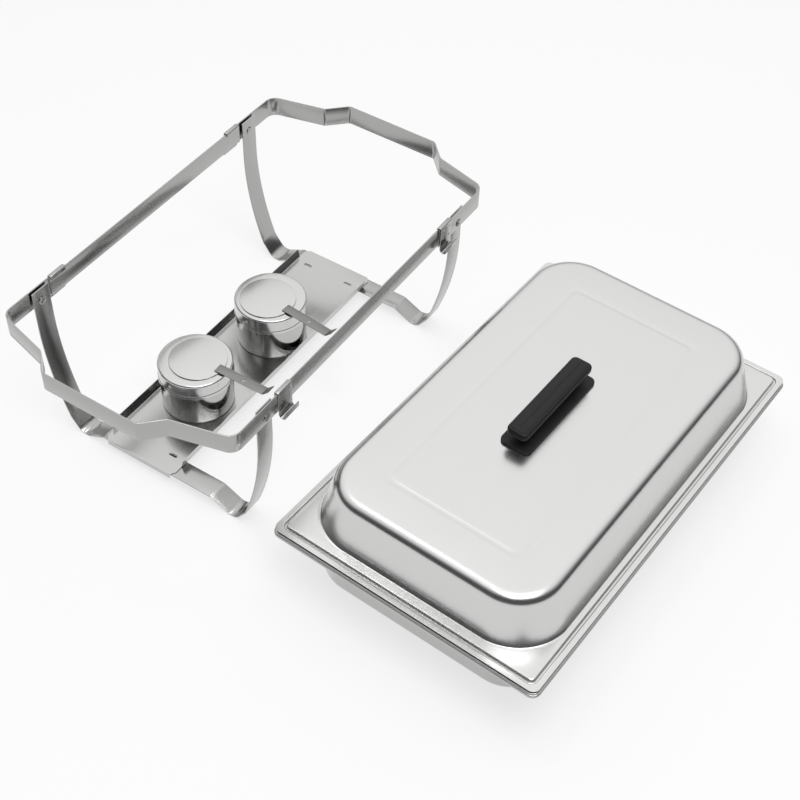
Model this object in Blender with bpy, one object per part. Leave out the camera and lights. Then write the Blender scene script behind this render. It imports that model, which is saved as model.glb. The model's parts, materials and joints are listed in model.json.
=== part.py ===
import math

import bmesh
import bpy
from mathutils import Matrix, Vector

mm = 0.001

# Common fits
GAP = 0.3 * mm               # left between pieces that touch
HOLE_PLAY = 0.4 * mm         # a hole's radius over its pin's
ROUND_SIDES = 40             # facets round a cup
PIN_SIDES = 16               # facets round a rivet or a screw
BEND_STEPS = 4               # facets in a bent strip
PAN_SEGMENTS = 5             # facets in a pan's corner
FILLET_MIDDLE = 0.3          # how far in a quarter round's middle lies, as a share of its radius
SMOOTH_ANGLE = 35            # degrees

# Pans and lid, turned a little against the stand
STACK_TURN = -3.55           # degrees
PAN_WALL = 0.8 * mm
WATER_PAN_DEPTH = 71 * mm
FOOD_PAN_DEPTH = 45 * mm
FOOD_PAN_INSET = 5 * mm            # steam space between the two walls
BODY_HALF = (248 * mm, 147 * mm)   # wall at the rim
BODY_DRAFT = 9 * mm                # inward from rim to floor
BODY_CORNER = 55 * mm
FLOOR_FILLET = 9 * mm
RIM_WIDTH = 16.5 * mm              # flat flange
RIM_CORNER = 9 * mm
RIM_STEP = 1 * mm                  # each rim's edge in from the one below
WATER_LIP = 2.5 * mm               # turned down at the flange's edge
FOOD_LIP = 0.6 * mm
FOOD_RAISE = 1.4 * mm              # outer part of the flange over its seat on the water pan
FOOD_SEAT = 3 * mm                 # seat's width beyond the water pan's wall
DOME_INSET = (5 * mm, 0.5 * mm)    # dome's foot, in from the pan's wall
DOME_DRAFT = (12 * mm, 15 * mm)    # inward from foot to top
DOME_HEIGHT = 60 * mm
DOME_TOP_CORNER = 52 * mm
DOME_FOOT_CORNER = 62 * mm
DOME_EDGE = 9 * mm
DOME_FOOT = 1.5 * mm
LID_STEP = 2 * mm                  # flange over the outer strip
LID_STRIP = 5.5 * mm
LID_BEAD = 2.4 * mm                # groove under the strip, which rests on the food pan
LID_BEAD_WIDTH = 4.5 * mm
LID_BEAD_RUN = 0.8 * mm
LID_BEAD_CORNER = 4 * mm

# Handle
PLATE_HALF_LENGTH = 68.5 * mm
PLATE_HALF_WIDTH = 18.5 * mm
PLATE_CORNER = 7.6 * mm
PLATE_THICKNESS = 3 * mm
GRIP_HALF_LENGTH = 66.5 * mm
GRIP_HALF_WIDTH = 12.5 * mm
GRIP_CORNER = 5.7 * mm
GRIP_THICKNESS = 10 * mm
GRIP_EDGE = 2.5 * mm
POST_RADIUS = 6.5 * mm
POST_HEIGHT = 11.5 * mm
POST_INSET = 20 * mm               # from the grip's end
SCREW_RADIUS = 2 * mm
SCREW_HEAD_RADIUS = 4.5 * mm
SCREW_HEAD = 2.5 * mm
SCREW_CROWN = 2.7 * mm             # radius of the head's flat end
SCREW_BITE = 6 * mm
SCREW_WASHER_RADIUS = 7 * mm
SCREW_WASHER = 1 * mm

# Flat strip of the stand
STRIP_WIDTH = 25 * mm
STRIP_THICKNESS = 1.5 * mm

# Stand, with X along the dish and Y across it
STAND_HEIGHT = 199 * mm
STAND_SHIFT = -21.3 * mm      # along the dish, as it stands beside the pans
STAND_APART = 25.29 * mm      # free space between the pans and the stand
RING_SIDE_PLAY = 1.9 * mm     # pan's wall to the legs
RING_END_PLAY = 6 * mm        # pan's wall to the end loops
CORNER_RADIUS = 14 * mm
END_BOW = 17.5 * mm           # how far the ends lean out before the hand loop
HAND_LOOP_DEPTH = 22.5 * mm
HAND_LOOP_BASE = 84 * mm      # half lengths across the stand
HAND_LOOP_CREST = 62 * mm
HAND_LOOP_RADIUS = 7 * mm
LAP_LENGTH = 26 * mm          # loop over rail, under each hook
PIVOT_INSET = 53 * mm         # from the ring's corner
PIVOT_EDGE = 7 * mm           # above the strip's lower edge
RAIL_TO_LEG = 4.5 * mm        # free length between rail end and leg edge

# Rivets
RIVET_RADIUS = 2.5 * mm
RIVET_HEAD_RADIUS = 5 * mm
RIVET_HEAD = 1.5 * mm
RIVET_CROWN = 3 * mm          # radius of the head's flat end
RIVET_TAIL = 1.2 * mm         # clenched end inside the leg
WASHER_RADIUS = 6 * mm

# Legs
LEG_TOP_DROP = 2 * mm         # below the ring's top edge
LEG_BOW = 24 * mm             # how far a leg curves inward
LEG_BOW_START = 30 * mm       # below the pivot
LEG_BOW_FOOT = 19 * mm        # above the floor
LEG_BOW_STEPS = 6
FOOT_TUCK = 13.5 * mm         # foot's bend, in from the leg's lower end
FOOT_RADIUS = 13 * mm
CROSSBAR_RISE = 12 * mm       # underside of the shelf's seat over the floor
SEAT_PLAY = 3 * mm
FOOT_FLAT = 10 * mm           # foot's bend to the ramp up to the seat
SEAT_RADIUS = 8 * mm

# Lid hooks
HOOK_INSET = 1.5 * mm         # in from each end of the lap
HOOK_THICKNESS = 1.0 * mm
HOOK_BEND = 0.8 * mm
HOOK_LIP = 4 * mm             # inner edge of the saddle
HOOK_HANG = 4 * mm            # curl's centre below the strip
HOOK_CURL = 4.2 * mm
HOOK_CURL_BEND = 4 * mm
HOOK_RISE = 5 * mm

# Fuel holders
CUP_PLACES = {"left": (-86 * mm, 2.5 * mm), "right": (48 * mm, -5.5 * mm)}   # on the shelf
CUP_RADIUS = 42.5 * mm
CUP_HEIGHT = 60 * mm
CUP_WALL = 0.8 * mm
CUP_FILLET = 1.2 * mm
COVER_PLAY = 0.9 * mm         # skirt round the cup
COVER_SKIRT = 20 * mm
COVER_SHOULDER = 2 * mm
FLAME_RADIUS = 29 * mm
DISC_LAP = 5 * mm             # disc over the flame hole's edge
DISC_THICKNESS = 0.9 * mm
DISC_BOSS_PLAY = 6 * mm       # boss in the flame hole
DISC_BOSS = 1.5 * mm
DAMPER_SHIFT = {"left": (3 * mm, -2 * mm), "right": (-4 * mm, 1 * mm)}
DAMPER_TURN = {"left": 1.0, "right": -5.3}    # degrees
LEVER_LAP = 6 * mm            # lever over the disc's edge
LEVER_LENGTH = 75 * mm
LEVER_WIDTH = 12 * mm
LEVER_THICKNESS = 1.0 * mm
LEVER_TIP = 8 * mm
LEVER_BEND = 4 * mm
LEVER_HOLE = 2.2 * mm

# Fuel shelf
SHELF_OFFSET = 25 * mm        # across the stand, as it stands
SHELF_SIDE_PLAY = 7.3 * mm    # cup to the shelf's edge
SHELF_THICKNESS = 0.8 * mm
SHELF_END_PLAY = 0.5 * mm     # lip to crossbar
SHELF_LIP = 5.5 * mm
SHELF_FLANGE = 11 * mm
SHELF_FLARE = 2.5 * mm
SHELF_FLANGE_INSET = 17 * mm  # from the shelf's end
SHELF_CHAMFER = 5 * mm        # across the shelf
SHELF_CHAMFER_RUN = 7 * mm    # along it
SLOT_LENGTH = 11 * mm
SLOT_WIDTH = 4 * mm
SLOT_EDGE = 19 * mm           # slot's middle to the shelf's edge
TAB_PLAY = 0.5 * mm           # tab to crossbar
TAB_DROP = 2 * mm

# Finish, colour, roughness, metallic
STEEL = ("stainless_steel", (0.62, 0.62, 0.61), 0.28, 1.0)
POLISHED = ("polished_steel", (0.66, 0.66, 0.65), 0.12, 1.0)
BLACK = ("black_plastic", (0.015, 0.015, 0.016), 0.45, 0.0)

ENDS = {"left": -1, "right": 1}
SIDES = {"front": -1, "back": 1}

# Heights in the pan stack
WATER_RIM = WATER_PAN_DEPTH
FOOD_RIM = WATER_RIM + PAN_WALL + GAP + FOOD_RAISE
LID_RIM = FOOD_RIM + PAN_WALL + GAP + LID_BEAD
LID_UNDER = LID_RIM + LID_STEP + DOME_HEIGHT
LID_TOP = LID_UNDER + PAN_WALL
POST_SPREAD = GRIP_HALF_LENGTH - POST_INSET

# Ring round the pan, with its layers from the outer face inward: end loop, rail and washer, leg
RING_HALF_WIDTH = BODY_HALF[1] + RING_SIDE_PLAY + 3 * STRIP_THICKNESS + 2 * GAP
CORNER_HALF_LENGTH = BODY_HALF[0] + RING_END_PLAY + STRIP_THICKNESS - END_BOW
LOOP_MID = RING_HALF_WIDTH - STRIP_THICKNESS / 2
RAIL_MID = LOOP_MID - STRIP_THICKNESS - GAP
LEG_MID = RAIL_MID - STRIP_THICKNESS - GAP
RING_FOOT = STAND_HEIGHT - STRIP_WIDTH
PIVOT_HALF_SPAN = CORNER_HALF_LENGTH - PIVOT_INSET
PIVOT_Z = RING_FOOT + PIVOT_EDGE
RAIL_END = PIVOT_HALF_SPAN - STRIP_WIDTH / 2 - RAIL_TO_LEG
LOOP_END = RAIL_END - LAP_LENGTH
HOOK_REACH = GAP + HOOK_THICKNESS + 2 * HOOK_CURL

# Shelf on the legs' crossbars
SHELF_HALF_WIDTH = CUP_RADIUS + SHELF_SIDE_PLAY
SEAT_HALF_WIDTH = SHELF_OFFSET + SHELF_HALF_WIDTH + SEAT_PLAY
SEAT_TOP = CROSSBAR_RISE + STRIP_THICKNESS
SHELF_FLOOR = SEAT_TOP + GAP
SHELF_TOP = SHELF_FLOOR + SHELF_THICKNESS


def clear():
    for thing in list(bpy.data.objects):
        bpy.data.objects.remove(thing)


def material(finish):
    name, colour, roughness, metallic = finish
    made = bpy.data.materials.get(name)
    if made is None:
        made = bpy.data.materials.new(name)
        made.use_nodes = True
        shader = made.node_tree.nodes["Principled BSDF"]
        shader.inputs["Base Color"].default_value = (*colour, 1)
        shader.inputs["Roughness"].default_value = roughness
        shader.inputs["Metallic"].default_value = metallic
    return made


def empty(name, place, turn=0.0, parent=None):
    made = bpy.data.objects.new(name, None)
    made.location = place
    made.rotation_euler.z = math.radians(turn)
    made.parent = parent
    bpy.context.collection.objects.link(made)
    return made


def finished(name, mesh, finish, parent, place=(0, 0, 0)):
    bmesh.ops.recalc_face_normals(mesh, faces=mesh.faces)
    if mesh.calc_volume(signed=True) < 0:
        bmesh.ops.reverse_faces(mesh, faces=mesh.faces)
    data = bpy.data.meshes.new(name)
    mesh.to_mesh(data)
    mesh.free()
    data.materials.append(material(finish))
    data.shade_smooth()
    data.set_sharp_from_angle(angle=math.radians(SMOOTH_ANGLE))
    made = bpy.data.objects.new(name, data)
    made.location = place
    made.parent = parent
    bpy.context.collection.objects.link(made)
    return made


def rings_mesh(rings):
    """A closed solid through rings of points, with a face over the first and the last."""
    mesh = bmesh.new()
    rows = [[mesh.verts.new(p) for p in ring] for ring in rings]
    for low, high in zip(rows, rows[1:]):
        for i in range(len(low)):
            j = (i + 1) % len(low)
            mesh.faces.new((low[i], low[j], high[j], high[i]))
    mesh.faces.new(list(reversed(rows[0])))
    mesh.faces.new(rows[-1])
    return mesh


def turned(profile, sides):
    """A solid turned about Z from (radius, height) points, none of them on the axis."""
    angles = [2 * math.pi * k / sides for k in range(sides)]
    return rings_mesh([[(r * math.cos(a), r * math.sin(a), z) for a in angles] for r, z in profile])


def tube(profile, sides):
    """A turned ring whose closed (radius, height) outline stays off the axis."""
    mesh = turned(profile, sides)
    mesh.faces.ensure_lookup_table()
    first, last = mesh.faces[-2], mesh.faces[-1]
    a, b = list(reversed(first.verts)), list(last.verts)
    bmesh.ops.delete(mesh, geom=[first, last], context="FACES_ONLY")
    for i in range(sides):
        j = (i + 1) % sides
        mesh.faces.new((b[i], b[j], a[j], a[i]))
    return mesh


def round_rectangle(half_x, half_y, radius, z):
    points = []
    for quarter, (sx, sy) in enumerate(((1, 1), (-1, 1), (-1, -1), (1, -1))):
        for k in range(PAN_SEGMENTS + 1):
            a = math.pi / 2 * (quarter + k / PAN_SEGMENTS)
            x = sx * (half_x - radius) + radius * math.cos(a)
            y = sy * (half_y - radius) + radius * math.sin(a)
            points.append((x, y, z))
    return points


def side_shift(path, i, distance):
    """The step that carries a path's point to its left, square to the runs on both sides of it."""
    before = (path[i] - path[i - 1]).normalized() if i else None
    after = (path[i + 1] - path[i]).normalized() if i + 1 < len(path) else None
    sides = [Vector((-d.y, d.x)) for d in (before, after) if d is not None]
    mean = sum(sides, Vector((0, 0))).normalized()
    return mean * (distance / mean.dot(sides[0]))


def sheet(profile, wall):
    """A pressed sheet through (half x, half y, corner, height) rings, its wall on the left of their run."""
    flat = [Vector((p[0], p[3])) for p in profile]
    offset = []
    for i, (half_x, half_y, corner, z) in enumerate(profile):
        shift = side_shift(flat, i, wall)
        offset.append((half_x + shift.x, half_y + shift.x, max(corner + shift.x, wall), z + shift.y))
    return rings_mesh([round_rectangle(*p) for p in profile + offset[::-1]])


def filleted(points, bends):
    """The open path through points, with each bend rounded to its radius and 0 left sharp."""
    path = [Vector(points[0])]
    for i in range(1, len(points) - 1):
        before, here, after = (Vector(p) for p in points[i - 1:i + 2])
        if bends[i] == 0:
            path.append(here)
            continue
        to_before, to_after = (before - here).normalized(), (after - here).normalized()
        half = to_before.angle(to_after) / 2
        reach = bends[i] / math.tan(half)
        centre = here + (to_before + to_after).normalized() * bends[i] / math.sin(half)
        start = (here + to_before * reach - centre).normalized()
        end = (here + to_after * reach - centre).normalized()
        for k in range(BEND_STEPS + 1):
            path.append(centre + start.slerp(end, k / BEND_STEPS) * bends[i])
    path.append(Vector(points[-1]))
    return path


def ribbon(path, thickness, low, high, axes):
    """A bent strip: a 2-D path with a thickness, run from low to high along the third of its axes."""
    left, right = [], []
    for i, here in enumerate(path):
        shift = side_shift(path, i, thickness / 2)
        left.append(here + shift)
        right.append(here - shift)
    mesh = bmesh.new()
    rows = []
    for across, level in ((left, low), (left, high), (right, high), (right, low)):
        rows.append([])
        for p in across:
            place = [0, 0, 0]
            place[axes[0]], place[axes[1]], place[axes[2]] = p.x, p.y, level
            rows[-1].append(mesh.verts.new(place))
    for a, b in zip(rows, rows[1:] + rows[:1]):
        for i in range(len(path) - 1):
            mesh.faces.new((a[i], a[i + 1], b[i + 1], b[i]))
    mesh.faces.new([row[0] for row in rows])
    mesh.faces.new([row[-1] for row in rows][::-1])
    return mesh


def prism(outline, low, high):
    return rings_mesh([[(x, y, z) for x, y in outline] for z in (low, high)])


def block(x0, x1, y0, y1, low, high):
    return prism([(x0, y0), (x1, y0), (x1, y1), (x0, y1)], low, high)


def turn_mesh(mesh, axis, degrees):
    bmesh.ops.rotate(mesh, verts=mesh.verts, matrix=Matrix.Rotation(math.radians(degrees), 3, axis))
    return mesh


def combine(made, mesh, operation, place=(0, 0, 0)):
    """Cut a tool out of a piece, or join it on; the tool stays as a hidden guide in the piece's frame."""
    tool = finished(f"{made.name}.tool{len(made.modifiers)}", mesh, STEEL, made, place)
    tool.hide_render = True
    tool.display_type = "WIRE"
    change = made.modifiers.new(tool.name, "BOOLEAN")
    change.object = tool
    change.operation = operation
    change.solver = "EXACT"


def hole(made, radius, length, place, axis="Z"):
    tool = turned([(radius, -length / 2), (radius, length / 2)], PIN_SIDES)
    if axis == "Y":
        turn_mesh(tool, "X", 90)
    combine(made, tool, "DIFFERENCE", place)


def end_loop(name, end, parent):
    x_corner = CORNER_HALF_LENGTH - STRIP_THICKNESS / 2
    x_base = x_corner + END_BOW
    x_crest = x_base + HAND_LOOP_DEPTH
    half = [
        (x_crest, HAND_LOOP_CREST),
        (x_base, HAND_LOOP_BASE),
        (x_corner, LOOP_MID),
        (LOOP_END, LOOP_MID),
    ]
    points = [(end * x, -y) for x, y in reversed(half)] + [(end * x, y) for x, y in half]
    bends = [0, CORNER_RADIUS] + [HAND_LOOP_RADIUS] * 4 + [CORNER_RADIUS, 0]
    mesh = ribbon(filleted(points, bends), STRIP_THICKNESS, RING_FOOT, STAND_HEIGHT, (0, 1, 2))
    made = finished(name, mesh, STEEL, parent)
    for side in SIDES.values():
        place = (end * PIVOT_HALF_SPAN, side * LOOP_MID, PIVOT_Z)
        hole(made, RIVET_RADIUS + HOLE_PLAY, STRIP_THICKNESS * 2, place, "Y")


def rail(name, side, parent):
    path = [Vector((-RAIL_END, side * RAIL_MID)), Vector((RAIL_END, side * RAIL_MID))]
    finished(name, ribbon(path, STRIP_THICKNESS, RING_FOOT, STAND_HEIGHT, (0, 1, 2)), STEEL, parent)


def pivot(corner, end, side, parent):
    bore = RIVET_RADIUS + HOLE_PLAY
    outer = RING_HALF_WIDTH + GAP
    inner = LEG_MID - STRIP_THICKNESS / 2 - GAP
    profile = [
        (RIVET_CROWN, outer + RIVET_HEAD),
        (RIVET_HEAD_RADIUS, outer + RIVET_HEAD / 2),
        (RIVET_HEAD_RADIUS, outer),
        (RIVET_RADIUS, outer),
        (RIVET_RADIUS, inner),
        (RIVET_HEAD_RADIUS, inner),
        (RIVET_HEAD_RADIUS, inner - RIVET_TAIL / 2),
        (RIVET_CROWN, inner - RIVET_TAIL),
    ]
    place = (end * PIVOT_HALF_SPAN, 0, PIVOT_Z)
    tilt = 90 if side < 0 else -90
    mesh = turn_mesh(turned(profile, PIN_SIDES), "X", tilt)
    finished(f"{corner}_pivot_rivet", mesh, STEEL, parent, place)
    low, high = RAIL_MID - STRIP_THICKNESS / 2, RAIL_MID + STRIP_THICKNESS / 2
    ring = tube([(WASHER_RADIUS, high), (WASHER_RADIUS, low), (bore, low), (bore, high)], PIN_SIDES)
    finished(f"{corner}_pivot_washer", turn_mesh(ring, "X", tilt), STEEL, parent, place)


def lid_hook(corner, end, side, parent):
    inner = RAIL_MID - STRIP_THICKNESS / 2 - GAP - HOOK_THICKNESS / 2
    outer = RING_HALF_WIDTH + GAP + HOOK_THICKNESS / 2
    top = STAND_HEIGHT + GAP + HOOK_THICKNESS / 2
    curl = RING_FOOT - HOOK_HANG - HOOK_CURL
    tip = outer + 2 * HOOK_CURL
    points = [
        (side * inner, top - HOOK_LIP),
        (side * inner, top),
        (side * outer, top),
        (side * outer, curl),
        (side * tip, curl),
        (side * tip, curl + HOOK_CURL + HOOK_RISE),
    ]
    path = filleted(points, [0, HOOK_BEND, HOOK_BEND, HOOK_CURL_BEND, HOOK_CURL_BEND, 0])
    low, high = sorted((end * (LOOP_END + HOOK_INSET), end * (RAIL_END - HOOK_INSET)))
    finished(f"{corner}_lid_hook", ribbon(path, HOOK_THICKNESS, low, high, (1, 2, 0)), STEEL, parent)


def leg(name, end, parent):
    top = STAND_HEIGHT - LEG_TOP_DROP - PIVOT_Z
    half = [(LEG_MID, top)]
    bow_end = PIVOT_Z - LEG_BOW_FOOT
    for k in range(LEG_BOW_STEPS + 1):
        share = k / LEG_BOW_STEPS
        down = LEG_BOW_START + (bow_end - LEG_BOW_START) * share
        half.append((LEG_MID - LEG_BOW * share**2, -down))
    floor = STRIP_THICKNESS / 2 - PIVOT_Z
    foot = LEG_MID - LEG_BOW - FOOT_TUCK
    half.append((foot, floor))
    half.append((foot - FOOT_FLAT, floor))
    half.append((SEAT_HALF_WIDTH, floor + CROSSBAR_RISE))
    bends = [0] * (LEG_BOW_STEPS + 2) + [FOOT_RADIUS, SEAT_RADIUS, SEAT_RADIUS]
    points = [(-y, z) for y, z in half] + half[::-1]
    path = filleted(points, bends + bends[::-1])
    low, high = -STRIP_WIDTH / 2, STRIP_WIDTH / 2
    place = (end * PIVOT_HALF_SPAN, 0, PIVOT_Z)
    made = finished(name, ribbon(path, STRIP_THICKNESS, low, high, (1, 2, 0)), STEEL, parent, place)
    for side in SIDES.values():
        hole(made, RIVET_RADIUS + HOLE_PLAY, STRIP_THICKNESS * 2, (0, side * LEG_MID, 0), "Y")


def fuel_shelf(parent):
    end = PIVOT_HALF_SPAN + STRIP_WIDTH / 2 + SHELF_END_PLAY + SHELF_THICKNESS
    wide, narrow = SHELF_HALF_WIDTH, SHELF_HALF_WIDTH - SHELF_CHAMFER
    shoulder = end - SHELF_CHAMFER_RUN
    flange = end - SHELF_FLANGE_INSET
    outline = []
    for sx, sy in ((1, 1), (-1, 1), (-1, -1), (1, -1)):
        pair = [(sx * shoulder, sy * wide), (sx * end, sy * narrow)]
        outline += pair if sx * sy < 0 else pair[::-1]
    made = finished("fuel_shelf", prism(outline, SHELF_FLOOR, SHELF_TOP), STEEL, parent)
    half_sheet = SHELF_THICKNESS / 2
    for side in SIDES.values():
        root = Vector((side * (wide - SHELF_THICKNESS), SHELF_FLOOR + SHELF_THICKNESS / 3))
        edge = Vector((side * (wide + SHELF_FLARE), SHELF_TOP + SHELF_FLANGE))
        combine(made, ribbon([root, edge], SHELF_THICKNESS, -flange, flange, (1, 2, 0)), "UNION")
    slot_x = PIVOT_HALF_SPAN - STRIP_WIDTH / 2 - TAB_PLAY + SLOT_WIDTH / 2
    for sx in ENDS.values():
        x0, x1 = sorted((sx * (end - SHELF_THICKNESS), sx * end))
        lip = block(x0, x1, -narrow, narrow, SHELF_FLOOR - SHELF_LIP, SHELF_FLOOR + half_sheet)
        combine(made, lip, "UNION")
        for sy in SIDES.values():
            x, y = sx * slot_x, sy * (SHELF_HALF_WIDTH - SLOT_EDGE)
            y0, y1 = y - SLOT_LENGTH / 2, y + SLOT_LENGTH / 2
            x0, x1 = x - SLOT_WIDTH / 2, x + SLOT_WIDTH / 2
            cut = block(x0, x1, y0, y1, SHELF_FLOOR - SHELF_LIP, SHELF_TOP + SHELF_LIP)
            combine(made, cut, "DIFFERENCE")
            inner = x - sx * SLOT_WIDTH / 2
            x0, x1 = sorted((inner, inner - sx * SHELF_THICKNESS))
            tab = block(x0, x1, y0, y1, SHELF_FLOOR - TAB_DROP, SHELF_FLOOR + half_sheet)
            combine(made, tab, "UNION")


def fuel_holder(end, parent):
    x, y = CUP_PLACES[end]
    base = SHELF_TOP + GAP
    place = (x, y, base)
    inside = CUP_RADIUS - CUP_WALL
    cup = [
        (CUP_RADIUS - CUP_FILLET, 0),
        (CUP_RADIUS, CUP_FILLET),
        (CUP_RADIUS, CUP_HEIGHT),
        (inside, CUP_HEIGHT),
        (inside, CUP_FILLET),
        (inside - CUP_FILLET + CUP_WALL, CUP_WALL),
    ]
    finished(f"{end}_fuel_cup", turned(cup, ROUND_SIDES), POLISHED, parent, place)
    bore = CUP_RADIUS + COVER_PLAY
    under = CUP_HEIGHT + GAP
    skirt = bore + CUP_WALL
    cover = [
        (bore, under - COVER_SKIRT),
        (skirt, under - COVER_SKIRT),
        (skirt, under - COVER_SHOULDER),
        (skirt - COVER_SHOULDER, under + CUP_WALL),
        (FLAME_RADIUS, under + CUP_WALL),
        (FLAME_RADIUS, under),
        (bore, under),
    ]
    finished(f"{end}_cup_cover", tube(cover, ROUND_SIDES), POLISHED, parent, place)
    shift_x, shift_y = DAMPER_SHIFT[end]
    top = under + CUP_WALL + GAP
    spot = (x + shift_x, y + shift_y, base + top)
    damper = empty(f"{end}_damper_place", spot, DAMPER_TURN[end], parent)
    boss = FLAME_RADIUS - DISC_BOSS_PLAY
    disc_radius = FLAME_RADIUS + DISC_LAP
    disc = [(boss, -DISC_BOSS), (boss + DISC_BOSS, 0), (disc_radius, 0), (disc_radius, DISC_THICKNESS)]
    finished(f"{end}_damper_disc", turned(disc, ROUND_SIDES), POLISHED, damper)
    low = DISC_THICKNESS + GAP + LEVER_THICKNESS / 2
    start = disc_radius - LEVER_LAP
    tip = start + LEVER_LENGTH
    path = [(-start, low), (LEVER_TIP - tip, low), (-tip, low + LEVER_TIP)]
    half = LEVER_WIDTH / 2
    mesh = ribbon(filleted(path, [0, LEVER_BEND, 0]), LEVER_THICKNESS, -half, half, (1, 2, 0))
    lever = finished(f"{end}_damper_lever", mesh, STEEL, damper)
    hole(lever, LEVER_HOLE, LEVER_THICKNESS * 4, (0, -(start + tip) / 2, low))


def pan(name, depth, rim, inset, step, raised, lip, parent):
    """A pressed pan with its wall set in from the body's outline and its flange's underside at rim."""
    hx, hy = (half - inset for half in BODY_HALF)
    draft = BODY_DRAFT * depth / WATER_PAN_DEPTH
    floor = rim - depth
    low_x, low_y, low_corner = hx - draft, hy - draft, BODY_CORNER - draft
    round_in = FLOOR_FILLET * FILLET_MIDDLE
    edge_x, edge_y = (half + RIM_WIDTH - step for half in BODY_HALF)
    corner = RIM_CORNER - step
    profile = [
        (low_x - FLOOR_FILLET, low_y - FLOOR_FILLET, low_corner - FLOOR_FILLET, floor),
        (low_x - round_in, low_y - round_in, low_corner - round_in, floor + round_in),
        (low_x, low_y, low_corner, floor + FLOOR_FILLET),
        (hx, hy, BODY_CORNER, rim - raised),
    ]
    if raised:
        seat_x, seat_y = (half + FOOD_SEAT for half in BODY_HALF)
        profile.append((seat_x, seat_y, RIM_CORNER, rim - raised))
        profile.append((seat_x + raised, seat_y + raised, RIM_CORNER, rim))
    profile.append((edge_x, edge_y, corner, rim))
    profile.append((edge_x, edge_y, corner, rim - lip))
    finished(name, sheet(profile, PAN_WALL), STEEL, parent)


def lid(parent):
    edge_x, edge_y = (half + RIM_WIDTH - RIM_STEP for half in BODY_HALF)
    strip_x, strip_y = edge_x - LID_STRIP, edge_y - LID_STRIP
    bead_x, bead_y = strip_x - LID_BEAD_WIDTH, strip_y - LID_BEAD_WIDTH
    bead = LID_RIM - LID_BEAD
    run = LID_BEAD_RUN
    strip_corner = LID_BEAD_CORNER + LID_BEAD_WIDTH
    base_x, base_y = (half - inset for half, inset in zip(BODY_HALF, DOME_INSET))
    top_x, top_y = base_x - DOME_DRAFT[0], base_y - DOME_DRAFT[1]
    flange = LID_RIM + LID_STEP
    turn_in = DOME_EDGE * FILLET_MIDDLE
    profile = [
        (top_x - DOME_EDGE, top_y - DOME_EDGE, DOME_TOP_CORNER - DOME_EDGE, LID_UNDER),
        (top_x - turn_in, top_y - turn_in, DOME_TOP_CORNER - turn_in, LID_UNDER - turn_in),
        (top_x, top_y, DOME_TOP_CORNER, LID_UNDER - DOME_EDGE),
        (base_x - DOME_FOOT, base_y - DOME_FOOT, DOME_FOOT_CORNER, flange + DOME_FOOT),
        (base_x, base_y, DOME_FOOT_CORNER, flange),
        (bead_x, bead_y, LID_BEAD_CORNER, flange),
        (bead_x + run, bead_y + run, LID_BEAD_CORNER + run, bead),
        (strip_x - run, strip_y - run, strip_corner - run, bead),
        (strip_x, strip_y, strip_corner, LID_RIM),
        (edge_x, edge_y, RIM_CORNER - RIM_STEP, LID_RIM),
    ]
    made = finished("lid_shell", sheet(profile, PAN_WALL), STEEL, parent)
    for end in ENDS.values():
        hole(made, SCREW_RADIUS + HOLE_PLAY, PAN_WALL * 6, (end * POST_SPREAD, 0, LID_TOP))


def handle(parent):
    bore = SCREW_RADIUS + HOLE_PLAY
    plate_low = LID_TOP + GAP
    plate_high = plate_low + PLATE_THICKNESS
    plate = [
        round_rectangle(PLATE_HALF_LENGTH, PLATE_HALF_WIDTH, PLATE_CORNER, plate_low),
        round_rectangle(PLATE_HALF_LENGTH, PLATE_HALF_WIDTH, PLATE_CORNER, plate_high),
    ]
    base = finished("handle_base_plate", rings_mesh(plate), BLACK, parent)
    post_low = plate_high + GAP
    post_high = post_low + POST_HEIGHT
    grip_low = post_high + GAP
    grip_high = grip_low + GRIP_THICKNESS
    levels = [
        (GRIP_EDGE, grip_low),
        (0, grip_low + GRIP_EDGE),
        (0, grip_high - GRIP_EDGE),
        (GRIP_EDGE, grip_high),
    ]
    grip = []
    for inset, z in levels:
        half_x, half_y = GRIP_HALF_LENGTH - inset, GRIP_HALF_WIDTH - inset
        grip.append(round_rectangle(half_x, half_y, GRIP_CORNER, z))
    bar = finished("handle_grip", rings_mesh(grip), BLACK, parent)
    for end_name, end in ENDS.items():
        x = end * POST_SPREAD
        hole(base, bore, PLATE_THICKNESS * 3, (x, 0, plate_low))
        hole(bar, bore, 2 * (SCREW_BITE + GAP), (x, 0, grip_low))
        post = [(POST_RADIUS, post_low), (POST_RADIUS, post_high), (bore, post_high), (bore, post_low)]
        finished(f"{end_name}_handle_post", tube(post, PIN_SIDES), BLACK, parent, (x, 0, 0))
        washer_high = LID_UNDER - GAP
        washer_low = washer_high - SCREW_WASHER
        ring = [
            (SCREW_WASHER_RADIUS, washer_low),
            (SCREW_WASHER_RADIUS, washer_high),
            (bore, washer_high),
            (bore, washer_low),
        ]
        finished(f"{end_name}_handle_washer", tube(ring, PIN_SIDES), STEEL, parent, (x, 0, 0))
        head = washer_low - GAP
        screw = [
            (SCREW_CROWN, head - SCREW_HEAD),
            (SCREW_HEAD_RADIUS, head - SCREW_HEAD / 2),
            (SCREW_HEAD_RADIUS, head),
            (SCREW_RADIUS, head),
            (SCREW_RADIUS, grip_low + SCREW_BITE),
        ]
        finished(f"{end_name}_handle_screw", turned(screw, PIN_SIDES), STEEL, parent, (x, 0, 0))


def stand_place():
    """The stand's middle, behind the pans by the room that they and the hooks take up."""
    turn = math.radians(abs(STACK_TURN))
    rim_x, rim_y = (half + RIM_WIDTH + PAN_WALL for half in BODY_HALF)
    stack_reach = rim_x * math.sin(turn) + rim_y * math.cos(turn)
    return STAND_SHIFT, stack_reach + STAND_APART + RING_HALF_WIDTH + HOOK_REACH, 0


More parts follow.
